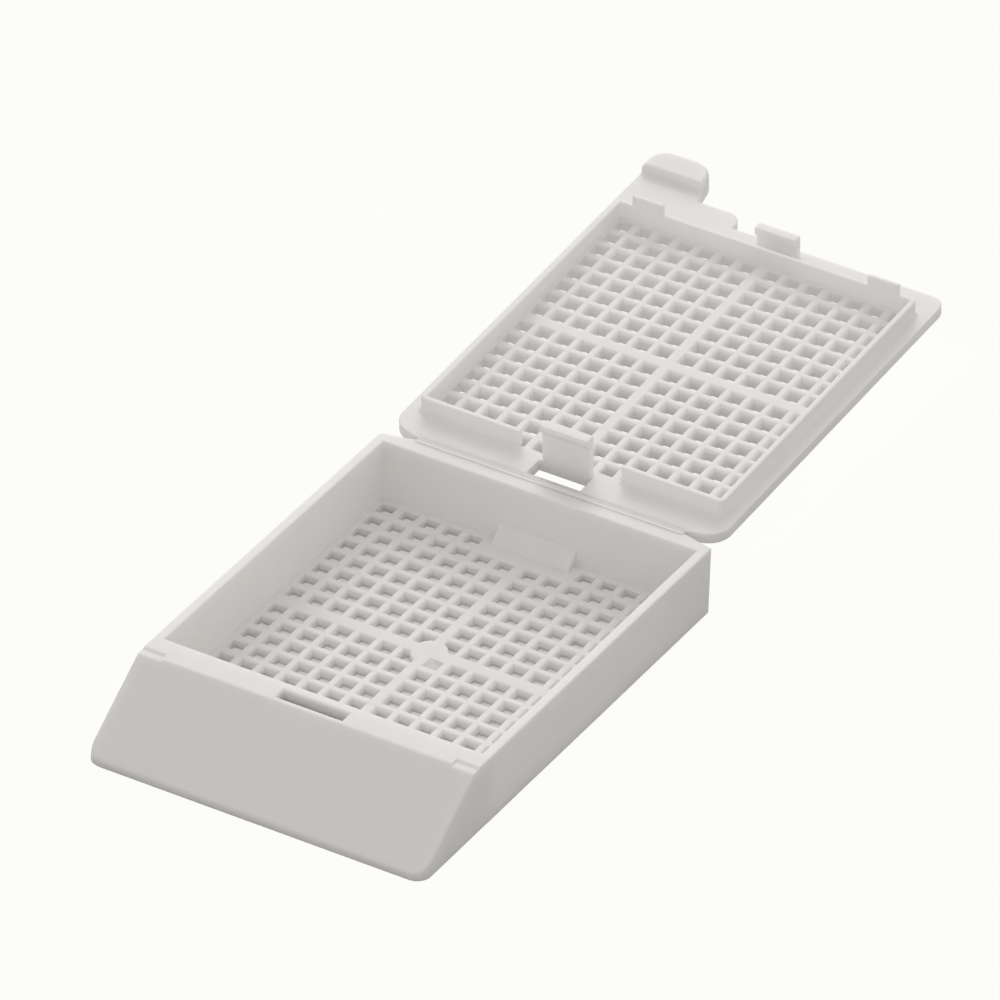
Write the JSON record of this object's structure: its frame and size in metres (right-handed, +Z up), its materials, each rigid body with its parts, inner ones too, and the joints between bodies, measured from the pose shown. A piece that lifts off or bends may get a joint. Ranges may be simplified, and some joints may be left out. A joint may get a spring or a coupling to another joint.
{
  "type": "tissue cassette",
  "caption": "Perforated plastic biopsy cassette with a sloping front panel and an attached lid on a film hinge.",
  "frame": {"origin": "centre of the crossing of the base floor's plain ribs, on the underside that the base stands on", "axes": "+X across the base, +Y from the sloping front towards the hinge and the open lid, +Z up out of the base's well"},
  "size_m": [0.0286, 0.0828, 0.0101],
  "materials": {
    "white_acetal": "smooth semi-matte moulded acetal"
  },
  "bodies": {
    "base": {"base": "white_acetal"},
    "lid": {"lid": "white_acetal"}
  },
  "joints": [
    {"name": "lid_hinge", "type": "hinge", "parent": "base", "child": "lid", "pos_m": [0, 0.01735, 0.00577], "axis": [1, 0, 0], "range_deg": [-8, 176.43]}
  ]
}
